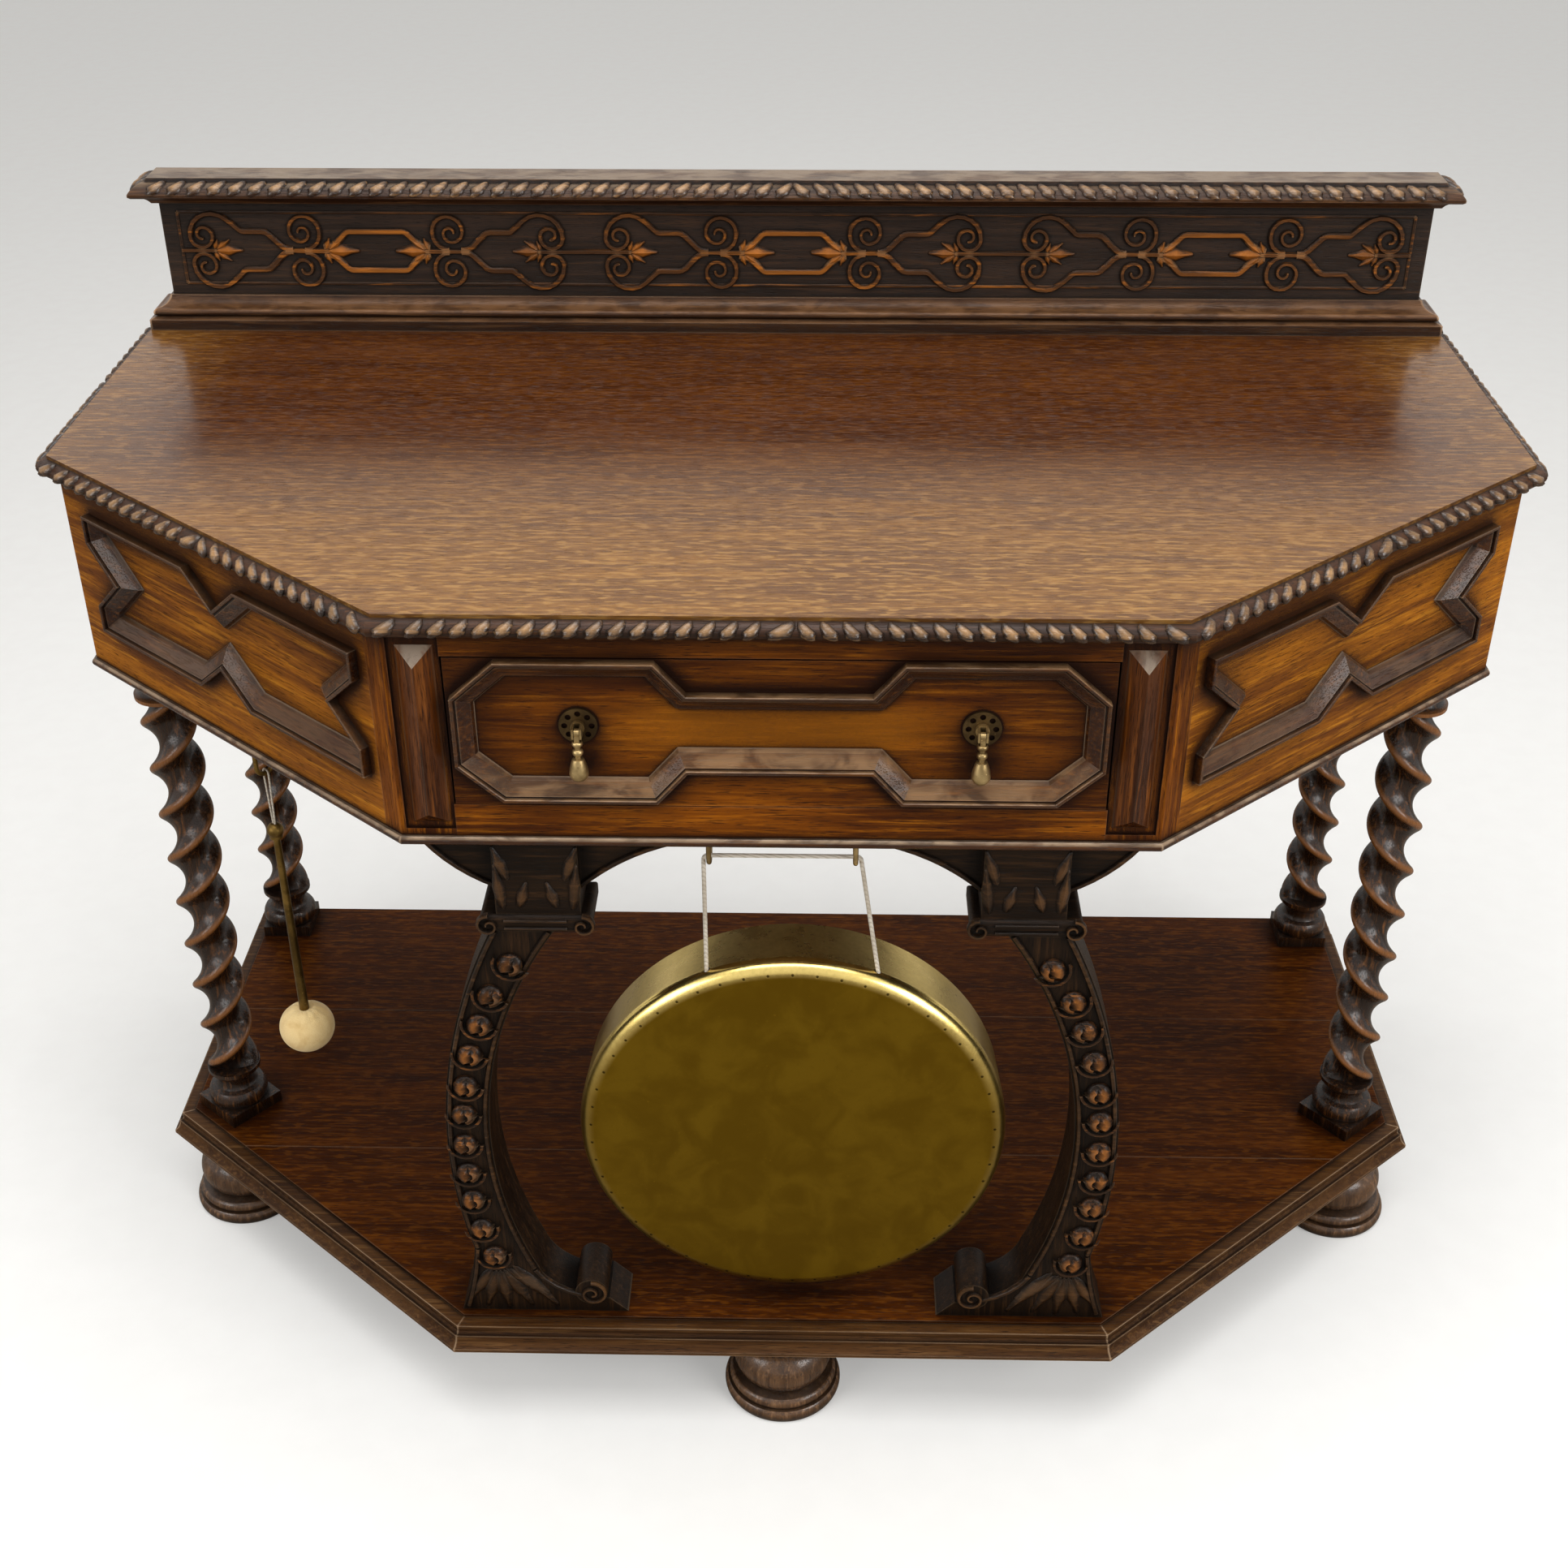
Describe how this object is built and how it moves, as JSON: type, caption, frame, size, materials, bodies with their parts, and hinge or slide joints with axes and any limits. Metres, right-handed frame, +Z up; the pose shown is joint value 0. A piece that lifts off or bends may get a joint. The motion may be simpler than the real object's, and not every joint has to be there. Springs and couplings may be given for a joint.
{
  "type": "serving table with gong",
  "caption": "Canted oak serving table with a carved back gallery, frieze drawer, twisted legs, boarded undershelf on turned feet and a hanging brass dinner gong with its beater.",
  "frame": {"origin": "on the floor, under the middle of the table's overall box", "axes": "+Z up, -Y towards the front with the drawer and gong, +X to the right seen from the front"},
  "size_m": [1.214, 0.6245, 0.936],
  "materials": {
    "oak_top": "aged oak, waxed, soft sheen",
    "oak_edge": "carved oak, dark in the hollows",
    "oak_gallery": "near-black oak ground with golden carved strapwork",
    "oak_frieze": "golden oak, waxed",
    "oak_moulding": "dark oak, waxed",
    "oak_leg": "dark oak, worn golden on the ridges",
    "oak_foot": "dark oak, waxed",
    "oak_shelf": "dark reddish oak, glossy wax",
    "oak_bracket": "carved dark oak",
    "oak_inside": "bare oak",
    "brass_gong": "aged polished brass",
    "brass_old": "dull aged brass",
    "cord_cream": "twisted cotton cord",
    "head_cream": "soft pale leather over a stuffed ball"
  },
  "bodies": {
    "table": {"top_board": "oak_top", "top_edge_moulding": "oak_edge", "gallery_cap": "oak_edge", "gallery_base_moulding": "oak_edge", "gallery_panel": "oak_gallery", "front_top_rail": "oak_frieze", "front_bottom_rail": "oak_frieze", "back_rail": "oak_frieze", "frieze_bead": "oak_frieze", "left_front_post": "oak_frieze", "right_front_post": "oak_frieze", "left_cant_panel": "oak_frieze", "right_cant_panel": "oak_frieze", "left_end_panel": "oak_frieze", "right_end_panel": "oak_frieze", "left_hip_block": "oak_moulding", "right_hip_block": "oak_moulding", "left_cant_moulding": "oak_moulding", "right_cant_moulding": "oak_moulding", "left_front_leg": "oak_leg", "right_front_leg": "oak_leg", "left_back_leg": "oak_leg", "right_back_leg": "oak_leg", "front_foot": "oak_foot", "left_foot": "oak_foot", "right_foot": "oak_foot", "left_back_foot": "oak_foot", "right_back_foot": "oak_foot", "back_shelf_board": "oak_shelf", "middle_shelf_board": "oak_shelf", "front_shelf_board": "oak_shelf", "shelf_edge_moulding": "oak_shelf", "left_gong_bracket": "oak_bracket", "right_gong_bracket": "oak_bracket", "left_bracket_capital": "oak_bracket", "right_bracket_capital": "oak_bracket", "left_bracket_spandrels": "oak_bracket", "right_bracket_spandrels": "oak_bracket", "gallery_dowels": "oak_inside", "corner_blocks": "oak_inside", "drawer_kickers": "oak_inside", "left_drawer_runner": "oak_inside", "right_drawer_runner": "oak_inside", "gong_hooks": "brass_old", "beater_hook": "brass_old"},
    "drawer": {"drawer_front": "oak_frieze", "drawer_front_moulding": "oak_moulding", "drawer_back": "oak_inside", "drawer_bottom": "oak_inside", "pull_rosettes": "brass_old", "pull_studs": "brass_old", "left_drawer_side": "oak_inside", "right_drawer_side": "oak_inside"},
    "left_drop": {"left_drop": "brass_old"},
    "right_drop": {"right_drop": "brass_old"},
    "gong": {"gong_bowl": "brass_gong", "gong_cord": "cord_cream"},
    "beater": {"beater_rod": "brass_old", "beater_head": "head_cream", "beater_string": "cord_cream"}
  },
  "joints": [
    {"name": "drawer_slide", "type": "slide", "parent": "table", "child": "drawer", "axis": [0, -1, 0], "range_m": [0, 0.3]},
    {"name": "left_drop_swing", "type": "hinge", "parent": "drawer", "child": "left_drop", "pos_m": [-0.14399, -0.2995, 0.70675], "axis": [-1, 0, 0], "range_deg": [-5, 75]},
    {"name": "right_drop_swing", "type": "hinge", "parent": "drawer", "child": "right_drop", "pos_m": [0.14399, -0.2995, 0.70675], "axis": [-1, 0, 0], "range_deg": [-5, 75]},
    {"name": "gong_swing", "type": "hinge", "parent": "table", "child": "gong", "pos_m": [0.001, -0.26084, 0.572], "axis": [-1, 0, 0], "range_deg": [-15, 15]},
    {"name": "beater_swing", "type": "hinge", "parent": "table", "child": "beater", "pos_m": [-0.41911, -0.14949, 0.577], "axis": [0.6532, 0.7572, 0], "range_deg": [-15, 15]}
  ]
}
